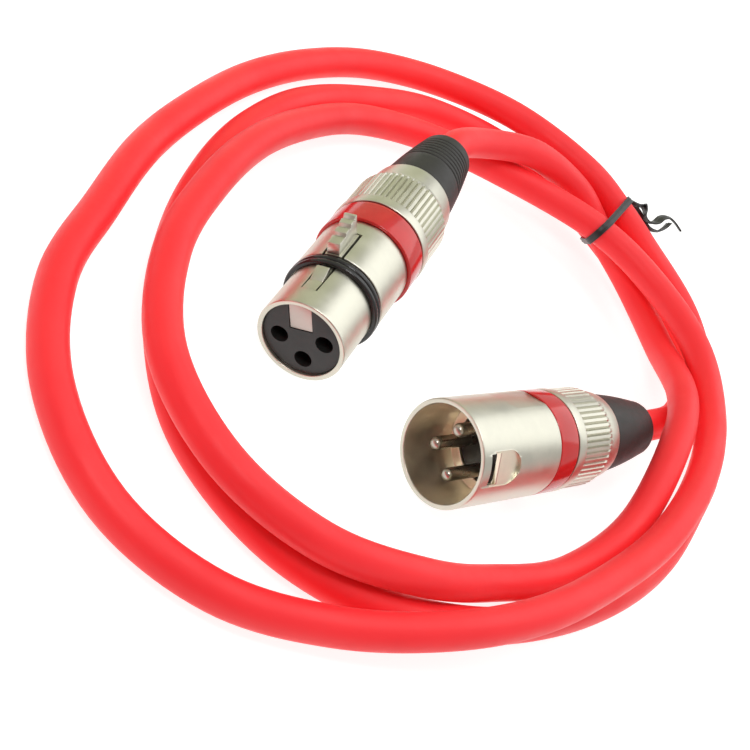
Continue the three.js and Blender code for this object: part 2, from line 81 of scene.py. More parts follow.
def connector_place(nut_joint, hinge_x, across):
    along = Vector(JOINTS[nut_joint]["axis"]).normalized()
    across = (across - along * across.dot(along)).normalized()
    turn = Matrix((along, across, along.cross(across))).transposed()
    face = Vector(JOINTS[nut_joint]["pos_m"]) - along * hinge_x * MM
    return Matrix.Translation(face) @ turn.to_4x4() @ Matrix.Scale(MM, 4)


MALE_ACROSS = Vector((0, math.cos(MALE_ROLL), math.sin(MALE_ROLL)))
FEMALE_ACROSS = Vector(JOINTS["latch_press"]["axis"])
MALE_PLACE = connector_place("male_nut_turn", MALE_HINGE_X, MALE_ACROSS)
FEMALE_PLACE = connector_place("female_nut_turn", FEMALE_HINGE_X, FEMALE_ACROSS)


# ---- Cable route ----
CABLE_R = 3.15
JACKET_TO_TIP = 27.5
STRAIGHT_OUT = 5.0
MALE_TIP = 57.5
FEMALE_TIP = 65.5
TIED_INNER = (69.7, 22.5, 8.2)
TIED_LEFT = (63.1, 18.9, 12.1)
TIED_TOP = (75.2, 25.2, 12.3)
TIED_LOW = (74.5, 24.9, 4.5)
ROUTE = [
    (35.4, 38.8, 14.0), (51.6, 37.1, 14.0), (64.6, 30.1, 11.3), TIED_INNER,
    (71.7, 8.6, 7.2), (67.2, -9.4, 8.6), (52.7, -25.9, 15.6), (38.7, -36.9, 15.8),
    (23.2, -47.9, 9.4), (5.2, -51.9, 4.8), (-14.3, -50.4, 5.2), (-33.3, -47.9, 9.0),
    (-51.3, -39.4, 10.0), (-62.3, -24.4, 9.6), (-64.3, -5.4, 9.2), (-55.8, 12.6, 9.8),
    (-41.8, 26.1, 10.0), (-25.8, 37.1, 9.0), (-7.8, 45.1, 7.0), (11.2, 49.6, 5.2),
    (30.2, 47.1, 5.0), (46.2, 36.6, 7.8), TIED_LEFT, (68.7, 5.1, 13.8),
    (67.7, -13.9, 16.0), (57.7, -30.9, 16.4), (42.2, -43.4, 16.6), (24.7, -52.4, 14.2),
    (6.2, -56.9, 11.6), (-13.3, -58.9, 10.6), (-32.8, -56.9, 8.6), (-50.8, -50.9, 4.8),
    (-68.3, -41.4, 3.6), (-79.8, -25.9, 3.4), (-81.3, -6.4, 3.4), (-73.8, 11.6, 3.6),
    (-60.3, 25.6, 3.4), (-45.8, 39.1, 3.4), (-29.3, 50.1, 3.4), (-11.8, 59.1, 3.4),
    (6.7, 65.1, 3.4), (26.2, 67.6, 3.6), (44.7, 63.1, 5.8), (59.7, 51.1, 10.2),
    (70.7, 34.1, 13.0), TIED_TOP, (79.2, 16.1, 11.0), (85.2, -1.9, 8.4),
    (82.2, -19.9, 4.6), (70.2, -35.9, 3.4), (52.7, -45.9, 3.6), (34.7, -53.9, 3.4),
    (15.7, -57.9, 3.4), (-3.8, -58.4, 3.4), (-23.3, -55.4, 3.4), (-41.3, -47.9, 3.4),
    (-55.3, -34.4, 3.4), (-61.8, -15.9, 3.4), (-57.8, 3.1, 3.4), (-47.8, 20.1, 3.4),
    (-34.3, 34.6, 3.4), (-18.8, 46.1, 3.4), (-0.8, 54.1, 3.4), (18.7, 56.6, 3.6),
    (38.7, 56.1, 3.4), (56.2, 48.1, 4.2), (67.2, 36.1, 5.2), TIED_LOW,
    (79.2, -3.9, 5.2), (71.2, -18.4, 7.6), (58.2, -26.4, 9.0),
]
STEPS_PER_POINT = 10


def straight_end(place, tip):
    stations = [tip - JACKET_TO_TIP, tip - JACKET_TO_TIP / 2, tip, tip + STRAIGHT_OUT]
    return [place @ Vector((x, 0, 0)) for x in stations]


def route_points():
    middle = [Vector(point) * MM for point in ROUTE]
    return straight_end(FEMALE_PLACE, FEMALE_TIP) + middle + straight_end(MALE_PLACE, MALE_TIP)[::-1]


def centripetal_point(p0, p1, p2, p3, share):
    """A point between p1 and p2 on the smooth curve through all four."""
    t1 = (p1 - p0).length ** 0.5
    t2 = t1 + (p2 - p1).length ** 0.5
    t3 = t2 + (p3 - p2).length ** 0.5
    t = t1 + (t2 - t1) * share
    a1 = p0 * ((t1 - t) / t1) + p1 * (t / t1)
    a2 = p1 * ((t2 - t) / (t2 - t1)) + p2 * ((t - t1) / (t2 - t1))
    a3 = p2 * ((t3 - t) / (t3 - t2)) + p3 * ((t - t2) / (t3 - t2))
    b1 = a1 * ((t2 - t) / t2) + a2 * (t / t2)
    b2 = a2 * ((t3 - t) / (t3 - t1)) + a3 * ((t - t1) / (t3 - t1))
    return b1 * ((t2 - t) / (t2 - t1)) + b2 * ((t - t1) / (t2 - t1))


def smooth_line(points, steps):
    ends = [points[0] * 2 - points[1]] + points + [points[-1] * 2 - points[-2]]
    line = []
    for i in range(1, len(ends) - 2):
        for k in range(steps):
            line.append(centripetal_point(*ends[i - 1:i + 3], k / steps))
    line.append(points[-1])
    return line


def tube_curve(name, line, radius, resolution):
    data = bpy.data.curves.new(name, "CURVE")
    data.dimensions = "3D"
    data.bevel_depth = radius
    data.bevel_resolution = resolution
    data.use_fill_caps = True
    spline = data.splines.new("POLY")
    spline.points.add(len(line) - 1)
    for point, place in zip(spline.points, line):
        point.co = (*place, 1.0)
    spline.use_smooth = True
    tube = bpy.data.objects.new(name, data)
    bpy.context.scene.collection.objects.link(tube)
    return tube


# ---- Mesh helpers ----
def mesh_object(name, vertices, faces, place=None):
    mesh = bpy.data.meshes.new(name)
    mesh.from_pydata([Vector(v) for v in vertices], [], faces)
    if place is not None:
        mesh.transform(place)
    mesh.validate()
    built = bmesh.new()
    built.from_mesh(mesh)
    bmesh.ops.recalc_face_normals(built, faces=built.faces)
    built.to_mesh(mesh)
    built.free()
    piece = bpy.data.objects.new(name, mesh)
    bpy.context.scene.collection.objects.link(piece)
    return piece


def smooth_faces(piece, sharp_degrees=32):
    piece.data.shade_smooth()
    piece.data.set_sharp_from_angle(angle=math.radians(sharp_degrees))


def rounded(profile, radius, steps=3, closed=True):
    """The profile of (x, r) points with its sharp corners rounded."""
    result = []
    count = len(profile)
    for i, point in enumerate(profile):
        here = Vector(point)
        if not closed and i in (0, count - 1):
            result.append(here)
            continue
        before = Vector(profile[i - 1]) - here
        after = Vector(profile[(i + 1) % count]) - here
        if before.angle(after) > math.radians(165):
            result.append(here)
            continue
        reach = min(radius, before.length * 0.45, after.length * 0.45)
        start = here + before.normalized() * reach
        end = here + after.normalized() * reach
        for k in range(steps + 1):
            t = k / steps
            result.append(start * (1 - t) ** 2 + here * 2 * t * (1 - t) + end * t ** 2)
    return [(p[0], p[1]) for p in result]


def rows(start, end, radius):
    """Points about a millimetre apart along a straight stretch of a profile."""
    count = round(abs(end - start))
    return [(start + (end - start) * k / count, radius) for k in range(1, count)]


def turned(name, profile, place, segments, radius_at=None):
    """A profile of (x, r) points turned about +X. It closes on itself, or starts and ends on the axis."""
    on_axis = profile[0][1] < 1e-6 and profile[-1][1] < 1e-6
    vertices = []
    rings = []
    for x, r in profile:
        if r < 1e-6:
            rings.append([len(vertices)] * segments)
            vertices.append((x, 0, 0))
            continue
        ring = []
        for k in range(segments):
            angle = 2 * math.pi * k / segments
            reach = r if radius_at is None else radius_at(x, r, angle)
            ring.append(len(vertices))
            vertices.append((x, reach * math.cos(angle), reach * math.sin(angle)))
        rings.append(ring)
    faces = []
    spans = len(rings) - 1 if on_axis else len(rings)
    for i in range(spans):
        first = rings[i]
        second = rings[(i + 1) % len(rings)]
        for k in range(segments):
            after = (k + 1) % segments
            corners = [first[k], first[after], second[after], second[k]]
            faces.append(list(dict.fromkeys(corners)))
    piece = mesh_object(name, vertices, [f for f in faces if len(f) > 2], place)
    smooth_faces(piece)
    return piece


def sector(name, profile, half_width, place, steps=10):
    """A closed profile of (x, r) points swept a short way about +X, centred on +Z, with straight sides."""
    vertices = []
    for k in range(steps + 1):
        y = half_width * (2 * k / steps - 1)
        for x, r in profile:
            vertices.append((x, y, math.sqrt(r * r - y * y)))
    count = len(profile)
    faces = [list(range(count)), list(range(steps * count, (steps + 1) * count))]
    for k in range(steps):
        for i in range(count):
            after = (i + 1) % count
            faces.append([k * count + i, k * count + after, (k + 1) * count + after, (k + 1) * count + i])
    return mesh_object(name, vertices, faces, place)


def prism(name, outline, low, high, place):
    """A flat outline of (x, y) points raised from z = low to z = high."""
    count = len(outline)
    vertices = [(x, y, low) for x, y in outline] + [(x, y, high) for x, y in outline]
    faces = [list(range(count)), list(range(count, 2 * count))]
    for i in range(count):
        after = (i + 1) % count
        faces.append([i, after, count + after, count + i])
    return mesh_object(name, vertices, faces, place)


def box_piece(name, xs, ys, zs, place):
    outline = [(xs[0], ys[0]), (xs[1], ys[0]), (xs[1], ys[1]), (xs[0], ys[1])]
    return prism(name, outline, zs[0], zs[1], place)


def settle(piece):
    """Applies the piece's modifiers to its mesh."""
    graph = bpy.context.evaluated_depsgraph_get()
    mesh = bpy.data.meshes.new_from_object(piece.evaluated_get(graph))
    piece.modifiers.clear()
    old = piece.data
    piece.data = mesh
    bpy.data.meshes.remove(old)


def combine(piece, others, operation):
    """Joins or cuts the piece with the others, which are used up."""
    for other in others:
        step = piece.modifiers.new("step", "BOOLEAN")
        step.operation = operation
        step.object = other
        step.solver = "EXACT"
        settle(piece)
    for other in others:
        bpy.data.objects.remove(other)
    return piece


def soften(piece, width, segments=2, degrees=30):
    """Rounds the piece's sharp edges by a width in millimetres."""
    step = piece.modifiers.new("step", "BEVEL")
    step.width = width * MM
    step.segments = segments
    step.limit_method = "ANGLE"
    step.angle_limit = math.radians(degrees)
    settle(piece)
    smooth_faces(piece)
    return piece


# ---- Material helpers ----
def new_material(name, colour, roughness, metallic=0.0, specular=0.5):
    material = bpy.data.materials.new(name)
    material.use_nodes = True
    shader = material.node_tree.nodes["Principled BSDF"]
    shader.inputs["Base Color"].default_value = (*colour, 1.0)
    shader.inputs["Roughness"].default_value = roughness
    shader.inputs["Metallic"].default_value = metallic
    shader.inputs["Specular IOR Level"].default_value = specular
    return material, shader


def object_coordinates(material, stretch=(1, 1, 1)):
    nodes = material.node_tree.nodes
    links = material.node_tree.links
    source = nodes.new("ShaderNodeTexCoord")
    mapping = nodes.new("ShaderNodeMapping")
    mapping.inputs["Scale"].default_value = stretch
    links.new(source.outputs["Object"], mapping.inputs["Vector"])
    return mapping.outputs["Vector"]


def noise_of(material, vector, scale, detail=4.0, roughness=0.5):
    texture = material.node_tree.nodes.new("ShaderNodeTexNoise")
    texture.inputs["Scale"].default_value = scale
    texture.inputs["Detail"].default_value = detail
    texture.inputs["Roughness"].default_value = roughness
    material.node_tree.links.new(vector, texture.inputs["Vector"])
    return texture.outputs["Fac"]


def ramp_of(material, factor, stops):
    ramp = material.node_tree.nodes.new("ShaderNodeValToRGB")
    elements = ramp.color_ramp.elements
    while len(elements) < len(stops):
        elements.new(0.5)
    for element, (position, colour) in zip(elements, stops):
        element.position = position
        element.color = (*colour, 1.0)
    material.node_tree.links.new(factor, ramp.inputs["Fac"])
    return ramp.outputs["Color"]


def range_of(material, factor, low, high):
    """Spreads a 0.3 to 0.7 factor over low to high."""
    spread = material.node_tree.nodes.new("ShaderNodeMapRange")
    spread.inputs["From Min"].default_value = 0.3
    spread.inputs["From Max"].default_value = 0.7
    spread.inputs["To Min"].default_value = low
    spread.inputs["To Max"].default_value = high
    material.node_tree.links.new(factor, spread.inputs["Value"])
    return spread.outputs["Result"]


def add_bump(material, height, strength, distance, below=None):
    bump = material.node_tree.nodes.new("ShaderNodeBump")
    bump.inputs["Strength"].default_value = strength
    bump.inputs["Distance"].default_value = distance
    material.node_tree.links.new(height, bump.inputs["Height"])
    if below is not None:
        material.node_tree.links.new(below, bump.inputs["Normal"])
    return bump.outputs["Normal"]


def link_to(material, shader, socket, output):
    material.node_tree.links.new(output, shader.inputs[socket])


def jacket_material():
    material, shader = new_material("red_jacket", (0.92, 0.030, 0.038), 0.46, specular=0.32)
    vector = object_coordinates(material)
    patches = noise_of(material, vector, 45.0, 3.0)
    stops = [(0.3, (0.90, 0.022, 0.030)), (0.55, (0.97, 0.028, 0.036)), (0.75, (0.99, 0.038, 0.042))]
    link_to(material, shader, "Base Color", ramp_of(material, patches, stops))
    smears = noise_of(material, vector, 140.0, 4.0)
    link_to(material, shader, "Roughness", range_of(material, smears, 0.40, 0.54))
    waves = add_bump(material, noise_of(material, vector, 190.0, 2.0), 0.25, 0.0004)
    grain = add_bump(material, noise_of(material, vector, 2600.0, 2.0), 0.10, 0.00005, waves)
    link_to(material, shader, "Normal", grain)
    shader.inputs["Subsurface Weight"].default_value = 0.12
    shader.inputs["Subsurface Radius"].default_value = (1.0, 0.15, 0.1)
    shader.inputs["Subsurface Scale"].default_value = 0.002
    shader.inputs["Sheen Weight"].default_value = 0.05
    shader.inputs["Sheen Roughness"].default_value = 0.5
    return material


def nickel_material(name, colour, low, high, grain_strength):
    material, shader = new_material(name, colour, low, 1.0)
    vector = object_coordinates(material)
    clouds = noise_of(material, vector, 260.0, 4.0)
    dull = tuple(channel * 0.90 for channel in colour)
    stops = [(0.35, dull), (0.65, colour)]
    link_to(material, shader, "Base Color", ramp_of(material, clouds, stops))
    link_to(material, shader, "Roughness", range_of(material, clouds, low, high))
    scratches = noise_of(material, object_coordinates(material, (900, 6000, 900)), 1.0, 3.0)
    scratched = add_bump(material, scratches, grain_strength * 0.5, 0.00002)
    grain = noise_of(material, vector, 5200.0, 2.0)
    link_to(material, shader, "Normal", add_bump(material, grain, grain_strength, 0.00003, scratched))
    return material


def plain_material(name, colours, roughness, scale, bump, metallic=0.0, coat=0.0):
    """A colour that drifts between two tones, with roughness and a fine grain to suit."""
    low, high = colours
    material, shader = new_material(name, high, roughness, metallic)
    vector = object_coordinates(material)
    drift = noise_of(material, vector, scale, 4.0)
    link_to(material, shader, "Base Color", ramp_of(material, drift, [(0.35, low), (0.65, high)]))
    link_to(material, shader, "Roughness", range_of(material, drift, roughness * 0.85, roughness * 1.15))
    grain = noise_of(material, vector, scale * 9, 3.0)
    link_to(material, shader, "Normal", add_bump(material, grain, bump, 0.00006))
    shader.inputs["Coat Weight"].default_value = coat
    shader.inputs["Coat Roughness"].default_value = 0.06
    return material


# Colour, lowest and highest roughness, and strength of the grain.
NICKEL_LOOKS = {
    "satin_nickel": ((0.64, 0.63, 0.54), 0.30, 0.42, 0.35),
    # A warmer, much brighter copy of the satin nickel for inside the male cup; its brightness is painted
    # light in a recess that gets little light.
    "cup_painted_light_nickel": ((0.95, 0.90, 0.74), 0.36, 0.48, 0.2),
    "contact_plate": ((0.82, 0.79, 0.72), 0.12, 0.2, 0.1),
    "pin_nickel": ((0.48, 0.45, 0.39), 0.24, 0.32, 0.15),
    "key_nickel": ((0.52, 0.45, 0.41), 0.34, 0.46, 0.25),
}
# Two tones, roughness, scale of the drift between the tones, strength of the grain, and what else differs.
PLAIN_LOOKS = {
    "spring_brass": (((0.62, 0.50, 0.24), (0.78, 0.66, 0.36)), 0.3, 300.0, 0.2, {"metallic": 1.0}),
    "copper": (((0.60, 0.28, 0.14), (0.80, 0.42, 0.26)), 0.35, 700.0, 0.5, {"metallic": 1.0}),
    "red_plastic": (((0.50, 0.014, 0.014), (0.60, 0.020, 0.020)), 0.14, 180.0, 0.05, {"coat": 0.1}),
    "black_rubber": (((0.013, 0.012, 0.011), (0.022, 0.021, 0.019)), 0.55, 400.0, 0.35, {}),
    "seal_rubber": (((0.010, 0.010, 0.010), (0.018, 0.018, 0.018)), 0.22, 300.0, 0.1, {}),
    "black_insulator": (((0.010, 0.011, 0.010), (0.020, 0.021, 0.020)), 0.42, 500.0, 0.2, {}),
    "white_plastic": (((0.78, 0.77, 0.72), (0.86, 0.85, 0.81)), 0.45, 300.0, 0.15, {}),
    "white_insulation": (((0.80, 0.79, 0.76), (0.88, 0.87, 0.84)), 0.5, 300.0, 0.1, {}),
    "blue_insulation": (((0.03, 0.08, 0.38), (0.05, 0.12, 0.48)), 0.5, 300.0, 0.1, {}),
    "tie_plastic": (((0.008, 0.008, 0.008), (0.016, 0.016, 0.017)), 0.42, 600.0, 0.3, {}),
}


def make_materials():
    materials = {"red_jacket": jacket_material()}
    for name, look in NICKEL_LOOKS.items():
        materials[name] = nickel_material(name, *look)
    for name, (colours, roughness, scale, bump, other) in PLAIN_LOOKS.items():
        materials[name] = plain_material(name, colours, roughness, scale, bump, **other)
    return materials


MATERIALS = make_materials()


def finish_piece(piece, look, body, stands_for=()):
    piece.data.materials.clear()
    piece.data.materials.append(MATERIALS[look])
    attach(piece, body)
    if stands_for:
        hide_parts(*stands_for)
    return piece


# ---- Cable ----
def build_cable():
    cable = tube_curve("cable_jacket", smooth_line(route_points(), STEPS_PER_POINT), CABLE_R * MM, 7)
    return finish_piece(cable, "red_jacket", "coil", stands_for=["cable"])


# ---- Pieces that both connectors share ----
KNURL_RIBS = 54
KNURL_R = 9.3
KNURL_DEPTH = 0.42
RIB_FLATNESS = 2.8
RIB_FADE = 0.7
NUT_R = 9.5


def build_nut(name, place, at):
    """A back nut with a smooth flange, a band of ribs that fade at one end, and a tapering nose."""
    throat = 6.9
    thread = 7.6
    band_from = at["flange_back"]
    band_to = at["knurl_back"]
    profile = rounded([
        (at["nut_front"], thread),
        (at["nut_front"], NUT_R),
        (at["flange_back"] - 0.35, NUT_R),
        (at["flange_back"], KNURL_R - KNURL_DEPTH),
    ], 0.22, 3, closed=False)
    steps = 22
    for i in range(1, steps):
        profile.append((band_from + (band_to - band_from) * i / steps, KNURL_R - KNURL_DEPTH))
    profile += rounded([
        (band_to, KNURL_R - KNURL_DEPTH),
        (band_to + 0.5, at["nose_r"] + 0.55),
        (at["nose_back"] - 0.25, at["nose_r"] + 0.05),
        (at["nose_back"], throat + 0.9),
        (at["nose_back"], throat),
        (at["tail_back"] + 0.8, throat),
        (at["tail_back"] + 0.8, thread),
    ], 0.3, 3, closed=False)

    def rib(x, r, angle):
        behind = band_to - x
        if x < band_from - 1e-6 or behind <= 0 or r < throat + 0.9:
            return r
        wave = 0.5 + 0.5 * math.cos(angle * KNURL_RIBS)
        height = min(1.0, wave * RIB_FLATNESS) * KNURL_DEPTH
        return r + height * min(1.0, behind / RIB_FADE)

    return turned(name, profile, place, KNURL_RIBS * 8, rib)


def build_boot(name, place, at, bulge, grooves):
    """A boot with a skirt inside the nut, a convex grip, and fine grooves near its tip if any are given."""
    bore = CABLE_R + 0.12
    skirt = 6.5
    front = at["nose_back"] + 0.15
    base = at["nose_r"] - 0.45
    tip_r = 5.25
    rounding = 1.4
    drop = 1.3
    length = at["tip"] - front

    def outside(x):
        t = (x - front) / length
        return base + (tip_r - base) * t + bulge * math.sin(math.pi * min(1.0, t * 1.02))

    profile = [
        (at["tail_back"] + 3.4, bore),
        (at["tail_back"] + 3.4, skirt),
        (front, skirt),
        (front, base - 0.2),
    ]
    steps = 40
    for i in range(1, steps):
        x = front + (length - rounding) * i / steps
        profile.append((x, outside(x)))
    for i in range(7):
        turn = math.pi / 2 * i / 6
        x = at["tip"] - rounding + rounding * math.sin(turn)
        profile.append((x, outside(at["tip"] - rounding) - drop * (1 - math.cos(turn))))
    # The mouth is flared, which clears the cable's bend when the boot slides back.
    profile.append((at["tip"] - 0.1, bore + 0.42))
    profile.append((at["tip"] - 3.5, bore + 0.12))
    profile.append((at["tip"] - 8.0, bore))
    if grooves:
        profile = with_grooves(profile, grooves)
    return turned(name, profile, place, 128)


def with_grooves(profile, grooves):
    """The profile with narrow V grooves let into its outer line, given as (start, pitch, count)."""
    start, pitch, count = grooves
    depth = 0.34
    half = 0.26
    centres = [start + i * pitch for i in range(count)]
    outer = [p for p in profile if p[1] > 4.5 and start - 1.5 < p[0] < centres[-1] + 1.2 and p[1] < 8]
    first = profile.index(outer[0])
    last = profile.index(outer[-1])

    def radius(x):
        for (x0, r0), (x1, r1) in zip(outer, outer[1:]):
            if x0 <= x <= x1:
                return r0 + (r1 - r0) * (x - x0) / (x1 - x0)
        return outer[-1][1]

    notch = [(-half - 0.12, 0.0), (-half, 0.03), (0.0, depth), (half, 0.03), (half + 0.12, 0.0)]
    line = [outer[0]]
    for centre in centres:
        for offset, drop in notch:
            line.append((centre + offset, radius(centre + offset) - drop))
    line.append(outer[-1])
    return profile[:first] + line + profile[last + 1:]


def build_coding_ring(name, place, front, back, inner, outer):
    profile = rounded([(front, inner), (front, outer), (back, outer), (back, inner)], 0.22, 4)
    return turned(name, profile, place, 160)


CONTACT_ANGLES = [90, -90, 180]
PIN_CIRCLE_R = 4.1
PIN_R = 1.2
CUP_LENGTH = 2.4
SEAT_GAP = 0.3
RING_GAP = 0.1
WIRE_BORE_R = 6.2


def contact_place(place, i):
    angle = math.radians(CONTACT_ANGLES[i])
    offset = Vector((0, -math.sin(angle) * PIN_CIRCLE_R, math.cos(angle) * PIN_CIRCLE_R))
    return place @ Matrix.Translation(offset)


# ---- Male connector ----
M = {
    "shell_r": 9.5,
    "cup_r": 8.6,
    "seat_r": 8.0,
    "ledge_front": 12.5,
    "ledge_back": 14.0,
    "ledge_r": 6.7,
    "insert_back": 24.2,
    "ring_front": 21.3,
    "ring_back": 26.3,
    "ring_inner": 8.9,
    "nut_front": 26.6,
    "flange_back": 29.2,
    "knurl_back": 37.3,
    "nose_back": 41.0,
    "nose_r": 8.3,
    "tip": MALE_TIP,
    "tail_r": 7.3,
    "tail_back": 35.0,
}
CUT_TOP = 13
MALE_WINDOW_PLACE = MALE_PLACE @ Matrix.Rotation(math.radians(-4.5), 4, "X")


def build_male_shell():
    profile = rounded([
        (0, M["cup_r"]),
        (0, M["shell_r"]),
        *rows(0, M["ring_front"] - RING_GAP, M["shell_r"]),
        (M["ring_front"] - RING_GAP, M["shell_r"]),
        (M["ring_front"] - RING_GAP, M["ring_inner"] - SEAT_GAP),
        (M["ring_back"], M["ring_inner"] - SEAT_GAP),
        (M["ring_back"], M["tail_r"]),
        (M["tail_back"], M["tail_r"]),
        (M["tail_back"], WIRE_BORE_R),
        (M["insert_back"] + SEAT_GAP, WIRE_BORE_R),
        (M["insert_back"] + SEAT_GAP, M["seat_r"]),
        (M["ledge_back"], M["seat_r"]),
        (M["ledge_back"], M["ledge_r"]),
        (M["ledge_front"], M["ledge_r"]),
        (M["ledge_front"], M["cup_r"]),
        *rows(M["ledge_front"], 0, M["cup_r"]),
    ], 0.25, 4)
    shell = turned("male_shell_body", profile, MALE_PLACE, 160)
    floor_z = M["shell_r"] - 0.62
    edge_strip = [(0.9, -3.1), (3.2, -3.1), (3.2, -2.7), (0.9, -2.7)]
    bevel = [(4.25, 8.4), (4.75, 8.95), (4.25, 9.1)]
    slot_half = 2.75
    cutters = [
        prism("recess_cutter", d_shape(3.0, 6.9, 3.1), floor_z, CUT_TOP, MALE_WINDOW_PLACE),
        prism("edge_cutter", edge_strip, floor_z, CUT_TOP, MALE_WINDOW_PLACE),
        box_piece("slot_cutter", (1.95, 4.3), (-slot_half, slot_half), (5, CUT_TOP), MALE_WINDOW_PLACE),
        cross_prism("slot_bevel_cutter", bevel, slot_half, MALE_WINDOW_PLACE),
        flat_cutter(),
    ]
    combine(shell, cutters, "DIFFERENCE")
    soften(shell, 0.10, 2, 38)
    # The cup's inner faces take the brighter nickel, which paints light into the recess.
    line_with_painted_light(shell, "cup_painted_light_nickel", MALE_PLACE, M["shell_r"] - 0.5, 0.5, M["ledge_back"])
    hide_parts("male_shell")
    return shell


def line_with_painted_light(shell, look, place, radius, front, back):
    """Finishes a shell in nickel, with another look on its inner faces between two stations: a brighter copy
    of the nickel, which paints in light that the recess does not get.
    """
    finish_piece(shell, "satin_nickel", "coil")
    shell.data.materials.append(MATERIALS[look])
    inward = place.inverted()
    for face in shell.data.polygons:
        x, y, z = inward @ face.center
        if math.hypot(y, z) < radius and front < x < back:
            face.material_index = 1


def d_shape(front, length, half):
    outline = [(front, -half)]
    for k in range(17):
        angle = math.pi * (k / 16 - 0.5)
        outline.append((front + length - half + half * math.cos(angle), half * math.sin(angle)))
    outline.append((front, half))
    return outline


def flat_cutter():
    """A cutter for the shallow flat, with a slanted front edge, on one side of the shell."""
    turn = Matrix.Rotation(math.radians(-85), 4, "X")
    outline = [(10.9, 3.8), (21.25, 3.8), (21.25, -3.8), (12.5, -3.8)]
    return prism("flat_cutter", outline, M["shell_r"] - 0.4, CUT_TOP, MALE_PLACE @ turn)


def build_male_insert():
    profile = rounded([
        (12.9, 0),
        (12.9, M["ledge_r"] - 0.12),
        (14.3, M["ledge_r"] - 0.12),
        (14.3, M["seat_r"] - SEAT_GAP),
        (M["insert_back"], M["seat_r"] - SEAT_GAP),
        (M["insert_back"], 0),
    ], 0.2, 3, closed=False)
    insert = turned("male_insert_body", profile, MALE_PLACE, 96)
    bores = [
        turned("bore", [(11, 0), (11, 1.26), (26, 1.26), (26, 0)], contact_place(MALE_PLACE, i), 32)
        for i in range(3)
    ]
    combine(insert, bores, "DIFFERENCE")
    smooth_faces(insert)
    return finish_piece(insert, "black_insulator", "coil", stands_for=["male_insert"])


def build_pin(i):
    """A solid pin with a rounded tip and a solder cup behind the insert."""
    tip = 2.2
    profile = [(tip, 0)]
    for k in range(1, 9):
        turn = math.pi / 2 * k / 8
        profile.append((tip + 1.1 * (1 - math.cos(turn)), PIN_R * math.sin(turn)))
    shoulder = M["insert_back"] + SEAT_GAP
    profile += [
        (shoulder, PIN_R),
        (shoulder, 1.55),
        (shoulder + CUP_LENGTH, 1.55),
        (shoulder + CUP_LENGTH, 1.0),
        (shoulder + 0.6, 1.0),
        (shoulder + 0.6, 0),
    ]
    pin = turned(f"male_pin_{i + 1}_turned", profile, contact_place(MALE_PLACE, i), 40)
    return finish_piece(pin, "pin_nickel", "coil", [f"male_pin_{i + 1}"])


def build_male():
    build_male_shell()
    build_male_insert()
    for i in range(3):
        build_pin(i)
    ring = build_coding_ring(
        "male_ring_body", MALE_PLACE, M["ring_front"], M["ring_back"], M["ring_inner"], M["shell_r"])
    finish_piece(ring, "red_plastic", "coil", stands_for=["male_coding_ring"])
    nut = build_nut("male_nut_body", MALE_PLACE, M)
    finish_piece(nut, "satin_nickel", "male_back_nut", stands_for=["male_back_nut"])
    boot = build_boot("male_boot_body", MALE_PLACE, M, 0.3, None)
    finish_piece(boot, "black_rubber", "male_boot", stands_for=["male_boot"])


# ---- Female connector ----
F = {
    "barrel_r": 8.0,
    "bore_r": 7.1,
    "seal_front": 11.0,
    "seal_back": 13.15,
    "seal_r": 8.9,
    "body_r": 8.8,
    "ring_front": 24.8,
    "ring_back": 30.4,
    "ring_r": 9.4,
    "ring_inner": 8.6,
    "insert_back": 24.2,
    "nut_front": 30.7,
    "flange_back": 33.3,
    "knurl_back": 42.2,
    "nose_back": 47.2,
    "nose_r": 8.1,
    "tip": FEMALE_TIP,
    "tail_r": 7.3,
    "tail_back": 39.0,
}
ARM_FRONT = 4.1
ARM_HALF = 1.22
PLATE_BACK = 20.8
PLATE_HALF = 1.57
RIDGE_HALF = 1.15
HOOK_LINE = [(6.9, 7.4), (6.9, 7.8), (9.6, 8.8), (9.95, 8.7), (9.95, 7.4)]
RIDGE_LINE = [
    (13.6, 8.3), (13.55, 9.2), (14.0, 10.75), (15.85, 11.0), (16.0, 10.78), (16.3, 10.75), (16.6, 11.4),
    (17.8, 11.6), (17.95, 11.35), (18.3, 11.3), (18.6, 12.0), (19.7, 12.15), (19.85, 11.9), (20.15, 11.85),
    (20.5, 12.5), (21.0, 12.55), (20.65, 8.3),
]


def build_female_shell():
    profile = rounded([
        (0, F["bore_r"]),
        (0, F["barrel_r"]),
        *rows(0, F["seal_back"] + SEAT_GAP, F["barrel_r"]),
        (F["seal_back"] + SEAT_GAP, F["barrel_r"]),
        (F["seal_back"] + SEAT_GAP, F["body_r"]),
        *rows(F["seal_back"] + SEAT_GAP, F["ring_front"] - RING_GAP, F["body_r"]),
        (F["ring_front"] - RING_GAP, F["body_r"]),
        (F["ring_front"] - RING_GAP, F["ring_inner"] - SEAT_GAP),
        (F["ring_back"], F["ring_inner"] - SEAT_GAP),
        (F["ring_back"], F["tail_r"]),
        (F["tail_back"], F["tail_r"]),
        (F["tail_back"], WIRE_BORE_R),
        (F["insert_back"] + SEAT_GAP, WIRE_BORE_R),
        (F["insert_back"] + SEAT_GAP, F["bore_r"]),
    ], 0.25, 4)
    shell = turned("female_shell_body", profile, FEMALE_PLACE, 160)
    arm_opening = [
        (ARM_FRONT, 1.38),
        (ARM_FRONT, -1.5),
        (10.0, -1.6),
        (14.5, -1.75),
        (14.5, 1.6),
        (10.0, 1.45),
    ]
    cutters = [
        prism("arm_cutter", arm_opening, 4, 12, FEMALE_PLACE),
        box_piece("plate_cutter", (13.0, PLATE_BACK + 0.3), (-2.02, 2.02), (4, 12), FEMALE_PLACE),
    ]
    combine(shell, cutters, "DIFFERENCE")
    soften(shell, 0.08, 2, 38)
    return finish_piece(shell, "satin_nickel", "coil", stands_for=["female_shell"])


def cross_prism(name, outline, half_width, place):
    """An outline of (x, z) points with a width across Y."""
    upright = Matrix.Rotation(math.radians(90), 4, "X")
    return prism(name, outline, -half_width, half_width, place @ upright)


